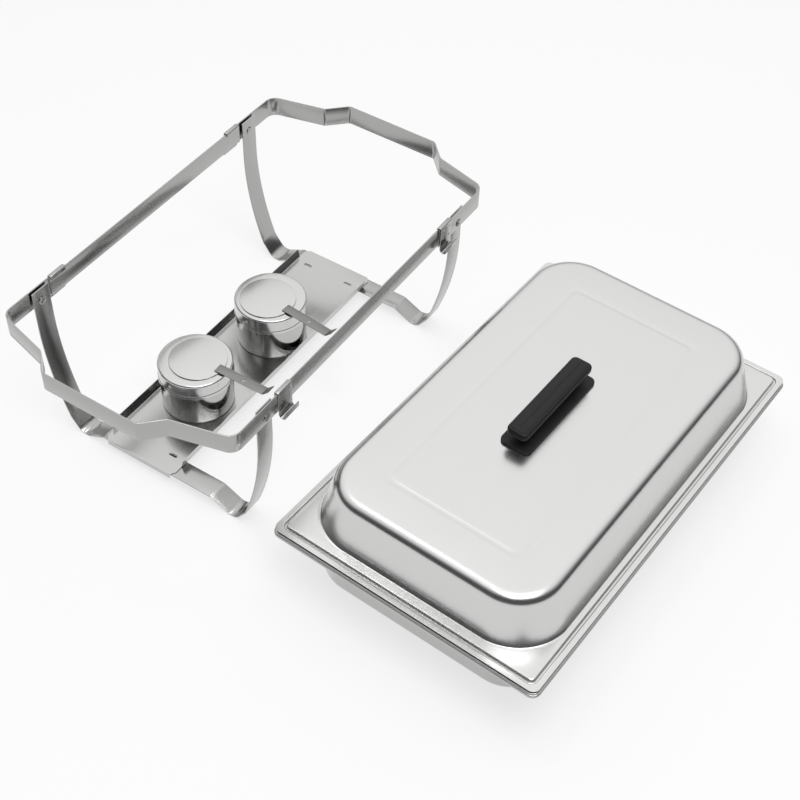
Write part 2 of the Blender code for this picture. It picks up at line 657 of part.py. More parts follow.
def main():
    clear()
    stand = empty("stand", stand_place())
    shelf = empty("shelf_place", (0, SHELF_OFFSET, 0), parent=stand)
    stack = empty("pan_stack", (0, 0, 0), STACK_TURN)
    for end_name, end in ENDS.items():
        end_loop(f"{end_name}_end_loop", end, stand)
        leg(f"{end_name}_leg", end, stand)
        fuel_holder(end_name, shelf)
        for side_name, side in SIDES.items():
            corner = f"{side_name}_{end_name}"
            pivot(corner, end, side, stand)
            lid_hook(corner, end, side, stand)
    for side_name, side in SIDES.items():
        rail(f"{side_name}_rail", side, stand)
    fuel_shelf(shelf)
    pan("water_pan", WATER_PAN_DEPTH, WATER_RIM, 0, 0, 0, WATER_LIP, stack)
    pan("food_pan", FOOD_PAN_DEPTH, FOOD_RIM, FOOD_PAN_INSET, RIM_STEP, FOOD_RAISE, FOOD_LIP, stack)
    lid(stack)
    handle(stack)


main()
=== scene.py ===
import json
import math

import bmesh
import bpy
from mathutils import Matrix, Vector


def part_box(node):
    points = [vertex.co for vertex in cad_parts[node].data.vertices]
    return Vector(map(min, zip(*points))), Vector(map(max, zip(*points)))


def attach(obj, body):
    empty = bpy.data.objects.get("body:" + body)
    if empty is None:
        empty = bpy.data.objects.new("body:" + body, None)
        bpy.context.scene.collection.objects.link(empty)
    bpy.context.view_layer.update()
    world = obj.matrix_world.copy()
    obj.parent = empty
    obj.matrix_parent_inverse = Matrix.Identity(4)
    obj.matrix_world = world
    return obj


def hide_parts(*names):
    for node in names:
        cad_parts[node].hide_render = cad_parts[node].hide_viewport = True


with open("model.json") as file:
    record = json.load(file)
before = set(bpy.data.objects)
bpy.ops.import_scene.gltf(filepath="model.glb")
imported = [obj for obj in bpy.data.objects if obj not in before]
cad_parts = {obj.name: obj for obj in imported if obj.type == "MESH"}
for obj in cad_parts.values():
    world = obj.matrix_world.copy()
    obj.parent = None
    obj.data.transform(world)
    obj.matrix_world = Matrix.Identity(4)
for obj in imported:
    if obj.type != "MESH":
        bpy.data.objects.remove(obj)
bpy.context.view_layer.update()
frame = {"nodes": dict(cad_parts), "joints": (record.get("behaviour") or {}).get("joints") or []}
mm = 0.001
ends = {"left": -1, "right": 1}
sides = {"front": -1, "back": 1}
pivots = [Vector(j["pos_m"]) for j in frame["joints"] if j["type"] == "hinge"]
standMiddle = (pivots[0] + pivots[1]) / 2
print("frame loaded,", len(frame["nodes"]), "nodes")


class Wire:
    # a shader socket that takes part in Python sums
    def __init__(self, nodes, socket):
        self.nodes = nodes
        self.socket = socket

    def sum(self, operation, first, second):
        return self.nodes.add("ShaderNodeMath", {"operation": operation}, {0: first, 1: second})

    def __add__(self, other):
        return self.sum("ADD", self, other)

    def __radd__(self, other):
        return self.sum("ADD", other, self)

    def __sub__(self, other):
        return self.sum("SUBTRACT", self, other)

    def __rsub__(self, other):
        return self.sum("SUBTRACT", other, self)

    def __mul__(self, other):
        return self.sum("MULTIPLY", self, other)

    def __rmul__(self, other):
        return self.sum("MULTIPLY", other, self)


class Nodes:
    # the node tree of a finish or of the surroundings
    def __init__(self, tree):
        self.tree = tree

    def feed(self, socket, value):
        if isinstance(value, Wire):
            self.tree.links.new(value.socket, socket)
        else:
            socket.default_value = value

    def add(self, kind, settings=None, inputs=None, output=0):
        made = self.tree.nodes.new(kind)
        for key, value in (settings or {}).items():
            if key == "stops":
                self.stops(made.color_ramp, value)
            else:
                setattr(made, key, value)
        for key, value in (inputs or {}).items():
            self.feed(made.inputs[key], value)
        return Wire(self, made.outputs[output])

    def stops(self, ramp, values):
        while len(ramp.elements) < len(values):
            ramp.elements.new(1.0)
        for element, (place, grey) in zip(ramp.elements, values):
            element.position = place
            element.color = (grey, grey, grey, 1)

    def noise(self, place, scale, detail=2.0):
        return self.add("ShaderNodeTexNoise", None, {"Vector": place, "Scale": scale, "Detail": detail})

    def stretched(self, place, factors):
        return self.add("ShaderNodeVectorMath", {"operation": "MULTIPLY"}, {0: place, 1: factors})

    def blend(self, factor, first, second):
        inputs = {0: factor, 6: first, 7: second}
        return self.add("ShaderNodeMix", {"data_type": "RGBA"}, inputs, 2)


def newFinish(name):
    material = bpy.data.materials.new(name)
    material.use_nodes = True
    return material, Nodes(material.node_tree), material.node_tree.nodes["Principled BSDF"]


steelLook = {
    "grain": (4.0, 4.0, 1600.0),   # noise cells a metre along each axis, few along the brushing
    "middle": None,                # turned grain runs round this point instead
    "pale": (0.64, 0.64, 0.635, 1),
    "deep": (0.55, 0.55, 0.545, 1),
    "rough": 0.22,
    "grainRough": 0.10,
    "smudgeRough": 0.08,
    "smudgeSize": 14.0,
    "scratch": 0.012 * mm,
    "shares": (0.5, 0.35, 0.15),   # of grain, smudge and fleck in the tone
    "fleckFiner": 22,              # fleck cells to a smudge cell
}


def steel(name, **changes):
    look = {**steelLook, **changes}
    material, nodes, shader = newFinish(name)
    place = nodes.add("ShaderNodeTexCoord", output="Object")
    grainPlace = nodes.stretched(place, look["grain"])
    if look["middle"]:
        away = nodes.add("ShaderNodeVectorMath", {"operation": "SUBTRACT"}, {0: place, 1: look["middle"]})
        flat = nodes.stretched(away, (1, 1, 0))
        radius = nodes.add("ShaderNodeVectorMath", {"operation": "LENGTH"}, {0: flat}, "Value")
        grainPlace = nodes.add("ShaderNodeCombineXYZ", None, {0: radius * look["grain"][2]})
    grain = nodes.noise(grainPlace, 1.0, 3.0)
    smudge = nodes.noise(place, look["smudgeSize"], 3.0)
    fleck = nodes.noise(place, look["smudgeSize"] * look["fleckFiner"], 2.0)
    grainShare, smudgeShare, fleckShare = look["shares"]
    tone = grainShare * grain + smudgeShare * smudge + fleckShare * fleck
    nodes.feed(shader.inputs["Base Color"], nodes.blend(tone, look["deep"], look["pale"]))
    rough = look["rough"] + look["grainRough"] * (grain - 0.5) + look["smudgeRough"] * (smudge - 0.5)
    nodes.feed(shader.inputs["Roughness"], rough)
    shader.inputs["Metallic"].default_value = 1.0
    relief = {"Height": grain, "Strength": 1.0, "Distance": look["scratch"]}
    nodes.feed(shader.inputs["Normal"], nodes.add("ShaderNodeBump", None, relief))
    return material


plasticLook = {
    "pale": (0.022, 0.022, 0.023, 1),
    "deep": (0.008, 0.008, 0.0085, 1),
    "rough": 0.42,
    "gloss": 0.22,
    "stipple": 1400.0,             # moulded grain, cells a metre
    "stippleDepth": 0.03 * mm,
    "stippleStrength": 0.6,
    "rub": 60.0,                   # worn patches, cells a metre
    "rubRough": 0.12,
    "shares": (0.4, 0.6),          # of stipple and rub in the tone
}


def plastic(name):
    look = plasticLook
    material, nodes, shader = newFinish(name)
    place = nodes.add("ShaderNodeTexCoord", output="Object")
    stipple = nodes.noise(place, look["stipple"], 2.0)
    rub = nodes.noise(place, look["rub"], 4.0)
    stippleShare, rubShare = look["shares"]
    tone = stippleShare * stipple + rubShare * rub
    nodes.feed(shader.inputs["Base Color"], nodes.blend(tone, look["deep"], look["pale"]))
    nodes.feed(shader.inputs["Roughness"], look["rough"] + look["rubRough"] * (rub - 0.5))
    shader.inputs["Specular IOR Level"].default_value = look["gloss"]
    relief = {"Height": stipple, "Strength": look["stippleStrength"], "Distance": look["stippleDepth"]}
    nodes.feed(shader.inputs["Normal"], nodes.add("ShaderNodeBump", None, relief))
    return material


def span(node):
    low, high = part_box(node)
    return low, high, (low + high) / 2


def rounded(points, radii, steps=10):
    # open path through flat points, each bend turned to its radius
    path = [Vector(points[0])]
    for i in range(1, len(points) - 1):
        here = Vector(points[i])
        if radii[i] == 0:
            path.append(here)
            continue
        toBefore = (Vector(points[i - 1]) - here).normalized()
        toAfter = (Vector(points[i + 1]) - here).normalized()
        half = toBefore.angle(toAfter) / 2
        reach = radii[i] / math.tan(half)
        centre = here + (toBefore + toAfter).normalized() * radii[i] / math.sin(half)
        first = (here + toBefore * reach - centre).normalized()
        last = (here + toAfter * reach - centre).normalized()
        path += [centre + first.slerp(last, k / steps) * radii[i] for k in range(steps + 1)]
    return path + [Vector(points[-1])]


def leftStep(path, i):
    # unit step to the left of a path at a point, lengthened to keep a bend's thickness
    before = (path[i] - path[i - 1]).normalized() if i else None
    after = (path[i + 1] - path[i]).normalized() if i + 1 < len(path) else None
    lefts = [Vector((-d.y, d.x)) for d in (before, after) if d is not None]
    mean = sum(lefts, Vector((0, 0))).normalized()
    return mean / mean.dot(lefts[0])


def skin(rings, closed=False):
    # faces through rings of points, capped at both ends or closed on itself
    mesh = bmesh.new()
    rows = [[mesh.verts.new(p) for p in ring] for ring in rings]
    pairs = list(zip(rows, rows[1:])) + ([(rows[-1], rows[0])] if closed else [])
    for low, high in pairs:
        for i in range(len(low)):
            j = (i + 1) % len(low)
            mesh.faces.new((low[i], low[j], high[j], high[i]))
    if not closed:
        mesh.faces.new(rows[0][::-1])
        mesh.faces.new(rows[-1])
    return mesh


def stripSection(thickness, low, high, edge):
    # corners of a strip's section, rounded by three points each
    half = thickness / 2
    corners = ((half, high, 0), (-half, high, 1), (-half, low, 2), (half, low, 3))
    points = []
    for across, level, quarter in corners:
        inAcross = across - math.copysign(edge, across)
        inLevel = level - edge if level == high else level + edge
        for k in range(3):
            a = math.pi / 2 * (quarter + k / 2)
            points.append((inAcross + edge * math.cos(a), inLevel + edge * math.sin(a)))
    return points


def strip(path, thickness, low, high, axes, edge=0.35 * mm):
    rings = []
    for i, here in enumerate(path):
        step = leftStep(path, i)
        ring = []
        for across, level in stripSection(thickness, low, high, edge):
            flat = here + step * across
            place = [0, 0, 0]
            place[axes[0]], place[axes[1]], place[axes[2]] = flat.x, flat.y, level
            ring.append(place)
        rings.append(ring)
    return skin(rings)


def turned(profile, count=96, closed=False):
    angles = [2 * math.pi * k / count for k in range(count)]
    rings = [[(p[0] * math.cos(a), p[0] * math.sin(a), p[1]) for a in angles] for p in profile]
    return skin(rings, closed)


def roundRectangle(halfX, halfY, radius, z, steps=14):
    points = []
    for quarter, (sx, sy) in enumerate(((1, 1), (-1, 1), (-1, -1), (1, -1))):
        for k in range(steps + 1):
            a = math.pi / 2 * (quarter + k / steps)
            x = sx * (halfX - radius) + radius * math.cos(a)
            y = sy * (halfY - radius) + radius * math.sin(a)
            points.append((x, y, z))
    return points


def softened(stations, reaches, steps=8):
    # stations of a pressing, half length, half width, corner and height, with eased bends
    eased = [stations[0]]
    for i in range(1, len(stations) - 1):
        before, here, after = (Vector(s) for s in stations[i - 1:i + 2])
        if reaches[i] == 0:
            eased.append(tuple(here))
            continue
        runs = []
        for other in (before, after):
            run = other - here
            length = math.hypot(run[0], run[3])
            runs.append(here + run * min(reaches[i] / length, 0.48))
        for k in range(steps + 1):
            t = k / steps
            eased.append(tuple(runs[0] * (1 - t) ** 2 + here * 2 * t * (1 - t) + runs[1] * t * t))
    return eased + [stations[-1]]


def pressing(stations, wall):
    # a sheet of even wall through the stations, solid to the left of their run
    flat = [Vector((s[0], s[3])) for s in stations]
    other = []
    for i, (halfX, halfY, corner, z) in enumerate(stations):
        step = leftStep(flat, i) * wall
        other.append((halfX + step.x, halfY + step.x, max(corner + step.x, wall), z + step.y))
    return skin([roundRectangle(*s) for s in list(stations) + other[::-1]])


def lens(radius, height, count=20):
    # a low round mark such as a spot weld
    profile = [(radius, 0), (radius * 0.8, height * 0.6), (radius * 0.4, height)]
    return turned(profile, count)


def joinInto(mesh, other, matrix):
    other.transform(matrix)
    data = bpy.data.meshes.new("join")
    other.to_mesh(data)
    other.free()
    mesh.from_mesh(data)
    bpy.data.meshes.remove(data)


def piece(name, mesh, matrix, body, slot, material, *nodes, smooth=38):
    bmesh.ops.recalc_face_normals(mesh, faces=mesh.faces)
    if mesh.calc_volume(signed=True) < 0:
        bmesh.ops.reverse_faces(mesh, faces=mesh.faces)
    mesh.transform(matrix)
    data = bpy.data.meshes.new(name)
    mesh.to_mesh(data)
    mesh.free()
    data.materials.append(material)
    data.shade_smooth()
    data.set_sharp_from_angle(angle=math.radians(smooth))
    made = bpy.data.objects.new(name, data)
    bpy.context.scene.collection.objects.link(made)
    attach(made, body)
    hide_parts(*nodes)
    return made


def carve(made, tools):
    # cuts or joins closed meshes on a finished piece, then keeps the result as its mesh
    helpers = []
    for mesh, operation in tools:
        bmesh.ops.recalc_face_normals(mesh, faces=mesh.faces)
        data = bpy.data.meshes.new("tool")
        mesh.to_mesh(data)
        mesh.free()
        helper = bpy.data.objects.new("tool", data)
        bpy.context.scene.collection.objects.link(helper)
        change = made.modifiers.new("tool", "BOOLEAN")
        change.object = helper
        change.operation = operation
        change.solver = "EXACT"
        helpers.append(helper)
    bpy.context.view_layer.update()
    result = bpy.data.meshes.new_from_object(made.evaluated_get(bpy.context.evaluated_depsgraph_get()))
    made.modifiers.clear()
    result.name = made.name
    made.data = result
    for helper in helpers:
        bpy.data.objects.remove(helper)
    made.data.shade_smooth()
    made.data.set_sharp_from_angle(angle=math.radians(30))


atStand = Matrix.Translation((standMiddle.x, standMiddle.y, 0))
stack = {"turn": -3.55, "wall": 0.8 * mm, "gap": 0.3 * mm}
atStack = Matrix.Rotation(math.radians(stack["turn"]), 4, "Z")

strapTones = {
    "pale": (0.44, 0.44, 0.435, 1),
    "deep": (0.38, 0.38, 0.375, 1),
    "scratch": 0.002 * mm,
    "grainRough": 0.04,
    "smudgeRough": 0.03,
}
ringSteel = steel("ringSteel", **strapTones)
legSteel = steel("legSteel", grain=(1600.0, 4.0, 4.0), **strapTones)
hookTones = {"pale": (0.44, 0.44, 0.435, 1), "deep": (0.36, 0.36, 0.355, 1)}
hookSteel = steel("hookSteel", grain=(1600.0, 6.0, 6.0), rough=0.2, **hookTones)
rivetSteel = steel("rivetSteel", rough=0.22, grain=(300.0, 300.0, 300.0), **hookTones)
shelfTones = {"pale": (0.54, 0.54, 0.535, 1), "deep": (0.45, 0.45, 0.445, 1), "scratch": 0.004 * mm}
shelfSteel = steel("shelfSteel", grain=(5.0, 1500.0, 5.0), rough=0.18, **shelfTones)
leverTones = {"pale": (0.3, 0.3, 0.295, 1), "deep": (0.2, 0.2, 0.195, 1)}
leverSteel = steel("leverSteel", grain=(1200.0, 6.0, 6.0), rough=0.42, **leverTones)
# the pans take the shelf's darker tones rather than the lid's: partly the steel's own tone, partly painted
# shade for the pan walls that sit in shade under the rims and lid
panSteel = steel("panSteel", grain=(6.0, 6.0, 900.0), rough=0.14, **shelfTones)
lidTones = {"pale": (0.66, 0.66, 0.655, 1), "deep": (0.6, 0.6, 0.595, 1)}
lidSteel = steel("lidSteel", grain=(5.0, 1100.0, 40.0), rough=0.24, smudgeSize=6.0, **lidTones)
screwSteel = steel("screwSteel", rough=0.3, grain=(200.0, 200.0, 200.0))
blackPlastic = plastic("blackPlastic")
print("finishes made")

ring = {
    "thickness": 1.5 * mm,
    "cornerRadius": 14 * mm,
    "endBow": 17.5 * mm,
    "handDepth": 22.5 * mm,
    "handBase": 84 * mm,
    "handCrest": 62 * mm,
    "handRadius": 7 * mm,
}


def endLoop(name, node, end):
    low, high = span(node)[:2]
    half = ring["thickness"] / 2
    across = (high.y - low.y) / 2 - half
    crest = max(abs(low.x - standMiddle.x), abs(high.x - standMiddle.x)) - half
    finish = min(abs(low.x - standMiddle.x), abs(high.x - standMiddle.x))
    base = crest - ring["handDepth"]
    corner = base - ring["endBow"]
    run = [(crest, ring["handCrest"]), (base, ring["handBase"]), (corner, across), (finish, across)]
    points = [(end * x, -y) for x, y in reversed(run)] + [(end * x, y) for x, y in run]
    radii = [0, ring["cornerRadius"]] + [ring["handRadius"]] * 4 + [ring["cornerRadius"], 0]
    mesh = strip(rounded(points, radii), ring["thickness"], low.z, high.z, (0, 1, 2))
    piece(name, mesh, atStand, "frame", "stand_steel", ringSteel, node)


def rail(name, node):
    low, high, middle = span(node)
    path = [Vector((low.x + (high.x - low.x) * k / 8, middle.y)) for k in range(9)]
    mesh = strip(path, high.y - low.y, low.z, high.z, (0, 1, 2))
    piece(name, mesh, Matrix(), "frame", "stand_steel", ringSteel, node)


legSizes = {
    "thickness": 1.5 * mm,
    "bow": 24 * mm,
    "bowStart": 30 * mm,       # below the pivot
    "bowFoot": 19 * mm,        # above the floor
    "footTuck": 13.5 * mm,
    "footRadius": 13 * mm,
    "footFlat": 10 * mm,
    "rise": 12 * mm,
    "seatHalf": 77.8 * mm,
    "seatRadius": 8 * mm,
}


def leg(name, node):
    size = legSizes
    low, high, middle = span(node)
    half = size["thickness"] / 2
    outer = (high.y - low.y) / 2 - half
    run = [(outer, high.z)]
    bowTop = standMiddle.z - size["bowStart"]
    for k in range(25):
        share = k / 24
        run.append((outer - size["bow"] * share**2, bowTop + (size["bowFoot"] - bowTop) * share))
    foot = outer - size["bow"] - size["footTuck"]
    run.append((foot, half))
    run.append((foot - size["footFlat"], half))
    run.append((size["seatHalf"], half + size["rise"]))
    radii = [0] * 26 + [size["footRadius"], size["seatRadius"], size["seatRadius"]]
    points = [(-y, z) for y, z in run] + run[::-1]
    path = rounded(points, radii + radii[::-1])
    width = (high.x - low.x) / 2
    mesh = strip(path, size["thickness"], -width, width, (1, 2, 0))
    place = Matrix.Translation((middle.x, middle.y, 0))
    piece(name, mesh, place, node, "stand_steel", legSteel, node)


hook = {
    "thickness": 1.0 * mm,
    "edge": 0.25 * mm,
    "lip": 4 * mm,
    "saddleBend": 0.9 * mm,
    "curlBend": 4.1 * mm,
    "curl": 4.2 * mm,
    "rise": 5 * mm,
    "weldRadius": 1.7 * mm,
    "weldHeight": 0.3 * mm,
    "weldSpread": (6.5 * mm, 6.0 * mm),
    "weldDrop": 12 * mm,
}


def lidHook(name, node, side):
    low, high, middle = span(node)
    half = hook["thickness"] / 2
    inner, tip = sorted((abs(low.y - standMiddle.y), abs(high.y - standMiddle.y)))
    inner += half
    tip -= half
    outer = tip - 2 * hook["curl"]
    top, curl = high.z - half, low.z + half
    lipTop = curl + hook["curl"] + hook["rise"]
    points = [(inner, top - hook["lip"]), (inner, top), (outer, top)]
    points += [(outer, curl), (tip, curl), (tip, lipTop)]
    radii = [0, hook["saddleBend"], hook["saddleBend"], hook["curlBend"], hook["curlBend"], 0]
    path = rounded([(side * y, z) for y, z in points], radii)
    width = (high.x - low.x) / 2
    mesh = strip(path, hook["thickness"], -width, width, (1, 2, 0), hook["edge"])
    face = outer + half
    turn = Matrix.Rotation(math.radians(-90 * side), 4, "X")
    for sx in (-1, 1):
        for sz in (-1, 1):
            level = high.z - hook["weldDrop"] + sz * hook["weldSpread"][1]
            spot = Matrix.Translation((sx * hook["weldSpread"][0], side * face, level))
            joinInto(mesh, lens(hook["weldRadius"], hook["weldHeight"]), spot @ turn)
    place = Matrix.Translation((middle.x, standMiddle.y, 0))
    piece(name, mesh, place, "frame", "stand_steel", hookSteel, node)


rivetSizes = {"head": 1.5 * mm, "tail": 1.2 * mm, "shank": 2.5 * mm}


def rivet(name, node, side):
    low, high, middle = span(node)
    radius = (high.x - low.x) / 2
    length = high.y - low.y
    head, tail, shank = rivetSizes["head"], rivetSizes["tail"], rivetSizes["shank"]
    profile = [(radius * 0.15, length)]
    for k in range(1, 9):
        a = math.pi / 2 * k / 8
        profile.append((radius * math.sin(a), length - head + head * math.cos(a)))
    profile += [(shank, length - head), (shank, tail), (radius, tail)]
    for k in range(1, 8):
        a = math.pi / 2 * k / 8
        profile.append((radius * math.cos(a), tail - tail * math.sin(a)))
    mesh = turned(profile, 40)
    start = low.y if side > 0 else high.y
    turn = Matrix.Rotation(math.radians(-90 * side), 4, "X")
    place = Matrix.Translation((middle.x, start, middle.z)) @ turn
    piece(name, mesh, place, "frame", "stand_steel", rivetSteel, node)


for endName, end in ends.items():
    endLoop(endName + "EndLoop", endName + "_end_loop", end)
    leg(endName + "Leg", endName + "_leg")
    for sideName, side in sides.items():
        corner = sideName + "_" + endName
        lidHook(corner + "_hook", corner + "_lid_hook", side)
        rivet(corner + "_rivet", corner + "_pivot_rivet", side)
        frame["nodes"][corner + "_pivot_washer"].data.materials.clear()
        frame["nodes"][corner + "_pivot_washer"].data.materials.append(rivetSteel)
for sideName in sides:
    rail(sideName + "Rail", sideName + "_rail")
print("stand made")

shelf = {
    "thickness": 0.8 * mm,
    "sheetEdge": 0.2 * mm,
    "chamfer": 5 * mm,          # across the shelf
    "chamferRun": 7 * mm,       # along it
    "flange": 11 * mm,
    "flangeInset": 17 * mm,
    "flare": 2.5 * mm,
    "foldRadius": 1.6 * mm,
    "lip": 5.5 * mm,
    "slot": (2 * mm, 5.5 * mm, 1.8 * mm),   # half width, half length, corner
    "slotEdge": 19 * mm,
    "slotFromEnd": 24.8 * mm,
    "tabDrop": 2 * mm,
    "tongueInset": 0.6 * mm,    # of the flat ends beyond the flanges
    "clear": 0.05 * mm,         # keeps a joined face off another
    "cutReach": 3 * mm,         # of a cutter past what it cuts
}


def box(x0, x1, y0, y1, z0, z1):
    return skin([[(x0, y0, z), (x1, y0, z), (x1, y1, z), (x0, y1, z)] for z in (z0, z1)])


def fuelShelf():
    low, high, middle = span("fuel_shelf")
    half = shelf["thickness"] / 2
    length = (high.x - low.x) / 2
    wide = (high.y - low.y) / 2 - shelf["flare"] - half
    narrow = wide - shelf["chamfer"]
    floor = low.z + shelf["lip"] + half
    edge = floor + half + shelf["flange"]
    shoulder = length - shelf["chamferRun"]
    flangeEnd = length - shelf["flangeInset"]
    points = [(-wide - shelf["flare"], edge), (-wide, floor), (wide, floor), (wide + shelf["flare"], edge)]
    path = rounded(points, [0, shelf["foldRadius"], shelf["foldRadius"], 0])
    mesh = strip(path, shelf["thickness"], -length, length, (1, 2, 0), shelf["sheetEdge"])
    place = Matrix.Translation((middle.x, middle.y, 0))
    made = piece("fuelShelf", mesh, place, "shelf", "shelf_steel", shelfSteel, "fuel_shelf", smooth=30)
    tools = []
    slotHalf, slotReach, slotCorner = shelf["slot"]
    clear, past = shelf["clear"], shelf["cutReach"]
    fold = wide - shelf["foldRadius"] + clear
    beyond = wide + shelf["flare"] + past
    flangeCuts = ((fold, floor + half), (wide - shelf["tongueInset"], floor - past))
    run, fall = shelf["chamferRun"], shelf["chamfer"]
    corner = [(shoulder - run, wide + fall), (length + run, narrow - fall), (length + run, wide + fall)]
    for sx in ends.values():
        x0, x1 = sorted((sx * (length - shelf["thickness"]), sx * (length - clear)))
        tools.append((box(x0, x1, -narrow, narrow, low.z, floor), "UNION"))
        for sy in sides.values():
            x0, x1 = sorted((sx * flangeEnd, sx * (length + past)))
            for inner, under in flangeCuts:
                y0, y1 = sorted((sy * inner, sy * beyond))
                tools.append((box(x0, x1, y0, y1, under, edge + past), "DIFFERENCE"))
            rings = [[(sx * x, sy * y, z) for x, y in corner] for z in (floor - past, floor + past)]
            tools.append((skin(rings), "DIFFERENCE"))
            x, y = sx * (length - shelf["slotFromEnd"]), sy * (wide - shelf["slotEdge"])
            cut = skin([roundRectangle(slotHalf, slotReach, slotCorner, z, 5) for z in (-past, past)])
            cut.transform(Matrix.Translation((x, y, floor)))
            tools.append((cut, "DIFFERENCE"))
            x0, x1 = sorted((x - sx * (slotHalf + clear), x - sx * (slotHalf + shelf["thickness"])))
            reach = slotReach - slotCorner
            tools.append((box(x0, x1, y - reach, y + reach, floor - half - shelf["tabDrop"], floor), "UNION"))
    for mesh, operation in tools:
        mesh.transform(place)
    carve(made, tools)


fuelShelf()

holder = {
    "wall": 0.8 * mm,
    "baseFillet": 1.2 * mm,
    "hub": 1 * mm,              # innermost ring of a turned floor
    "shoulder": 2.4 * mm,
    "flameRadius": 29 * mm,
    "beadWidth": 4.2 * mm,      # roll round the skirt's foot
    "beadDepth": 0.6 * mm,
    "beadBend": 0.4 * mm,
    "dimple": (2.0 * mm, 0.35 * mm),
    "dimpleHeight": 0.55,       # share of the skirt
    "dimpleTurn": 177,
    "seamTurn": {"left": 255, "right": 242},
    "seam": (0.3 * mm, 7 * mm),  # half width and length
    "seamDepth": 0.3 * mm,
}


def fuelCup(name, node, body, material):
    low, high, middle = span(node)
    outer, wall, tall = (high.x - low.x) / 2, holder["wall"], high.z - low.z
    inner = outer - wall
    hub = holder["hub"]
    points = [(hub, 0), (outer, 0), (outer, tall), (inner, tall), (inner, wall), (hub, wall)]
    inside = holder["baseFillet"] - wall
    path = rounded(points, [0, holder["baseFillet"], wall * 0.35, wall * 0.35, inside, 0], 8)
    place = Matrix.Translation((middle.x, middle.y, low.z))
    piece(name, turned(path), place, body, "holder_steel", material, node)


def cupCover(name, node, body, material, seamTurn):
    low, high, middle = span(node)
    outer, wall, tall = (high.x - low.x) / 2, holder["wall"], high.z - low.z
    bore, mouth = outer - wall, holder["flameRadius"]
    bead, waist = holder["beadWidth"], outer - holder["beadDepth"]
    inner = waist - wall
    small = wall * 0.4
    points = [(bore, 0), (outer, 0), (outer, bead), (waist, bead + holder["beadDepth"]), (waist, tall)]
    points += [(mouth, tall), (mouth, tall - wall), (inner, tall - wall), (inner, bead), (bore, bead - small)]
    shoulder, bend = holder["shoulder"], holder["beadBend"]
    radii = [0, small, bend, bend, shoulder, small, small, shoulder - wall, 0, 0]
    mesh = turned(rounded(points, radii, 8), closed=True)
    around = Matrix.Rotation(math.radians(holder["dimpleTurn"]), 4, "Z")
    level = tall * holder["dimpleHeight"]
    spot = Matrix.Translation((waist, 0, level)) @ Matrix.Rotation(math.radians(90), 4, "Y")
    joinInto(mesh, lens(*holder["dimple"]), around @ spot)
    place = Matrix.Translation((middle.x, middle.y, low.z))
    made = piece(name, mesh, place, body, "holder_steel", material, node)
    seamHalf, seamLength = holder["seam"]
    top = tall - shoulder
    slit = box(waist - holder["seamDepth"], outer, -seamHalf, seamHalf, top - seamLength, top)
    slit.transform(place @ Matrix.Rotation(math.radians(seamTurn), 4, "Z"))
    carve(made, [(slit, "DIFFERENCE")])


damper = {
    "turn": {"left": 1.0, "right": -5.3},
    "thickness": 0.9 * mm,
    "discEdges": (0.4 * mm, 0.4 * mm, 0.2 * mm, 0.3 * mm),
    "bossRadius": 23 * mm,
    "leverLap": 6 * mm,
    "leverLength": 75 * mm,
    "leverWidth": 12 * mm,
    "leverThickness": 1.0 * mm,
    "leverEdge": 0.25 * mm,
    "leverTip": 8 * mm,
    "leverBend": 4 * mm,
    "leverHole": 2.2 * mm,
    "weld": (1.5 * mm, 0.2 * mm),
    "weldFromEnd": 4 * mm,
    "weldSpread": 0.45,         # share of the half width
}


def damperDisc(name, node, body, material):
    low, high, middle = span(node)
    radius, tall = (high.x - low.x) / 2, high.z - low.z
    boss, foot = damper["bossRadius"], tall - damper["thickness"]
    hub = holder["hub"]
    points = [(hub, 0), (boss, 0), (boss + foot, foot), (radius, foot), (radius, tall), (hub, tall)]
    path = rounded(points, [0, *damper["discEdges"], 0], 6)
    place = Matrix.Translation((middle.x, middle.y, low.z))
    piece(name, turned(path), place, body, "holder_steel", material, node)
    return middle, radius


def damperLever(name, node, body, centre, radius, turn):
    low = span(node)[0]
    half = damper["leverThickness"] / 2
    start = radius - damper["leverLap"]
    tip = start + damper["leverLength"]
    level = low.z + half
    bend = tip - damper["leverTip"]
    points = [(-start, level), (-bend, level), (-tip, level + damper["leverTip"])]
    path = rounded(points, [0, damper["leverBend"], 0])
    width = damper["leverWidth"] / 2
    mesh = strip(path, damper["leverThickness"], -width, width, (1, 2, 0), damper["leverEdge"])
    for sx in (-1, 1):
        spot = (sx * width * damper["weldSpread"], -start - damper["weldFromEnd"], level + half)
        joinInto(mesh, lens(*damper["weld"]), Matrix.Translation(spot))
    place = Matrix.Translation((centre.x, centre.y, 0)) @ Matrix.Rotation(math.radians(turn), 4, "Z")
    made = piece(name, mesh, place, body, "lever_steel", leverSteel, node, smooth=30)
    past = 3 * damper["leverThickness"]
    drill = turned([(damper["leverHole"], -past), (damper["leverHole"], past)], 32)
    drill.transform(place @ Matrix.Translation((0, -(start + tip) / 2, level)))
    carve(made, [(drill, "DIFFERENCE")])


for endName in ends:
    cupMiddle = span(endName + "_fuel_cup")[2]
    centre = (cupMiddle.x, cupMiddle.y, 0)
    mirror = {"rough": 0.12, "grainRough": 0.05, "smudgeRough": 0.04, **shelfTones}
    cupSteel = steel(endName + "CupSteel", grain=(3.0, 3.0, 900.0), **mirror)
    topSteel = steel(endName + "CoverSteel", middle=centre, rough=0.2, grainRough=0.08)
    fuelCup(endName + "FuelCup", endName + "_fuel_cup", endName + "_cup", cupSteel)
    seam = holder["seamTurn"][endName]
    cupCover(endName + "CupCover", endName + "_cup_cover", endName + "_cover", topSteel, seam)
    place, radius = damperDisc(endName + "DamperDisc", endName + "_damper_disc", endName + "_damper", topSteel)
    turn = damper["turn"][endName]
    damperLever(endName + "DamperLever", endName + "_damper_lever", endName + "_damper", place, radius, turn)
print("fuel shelf and holders made")

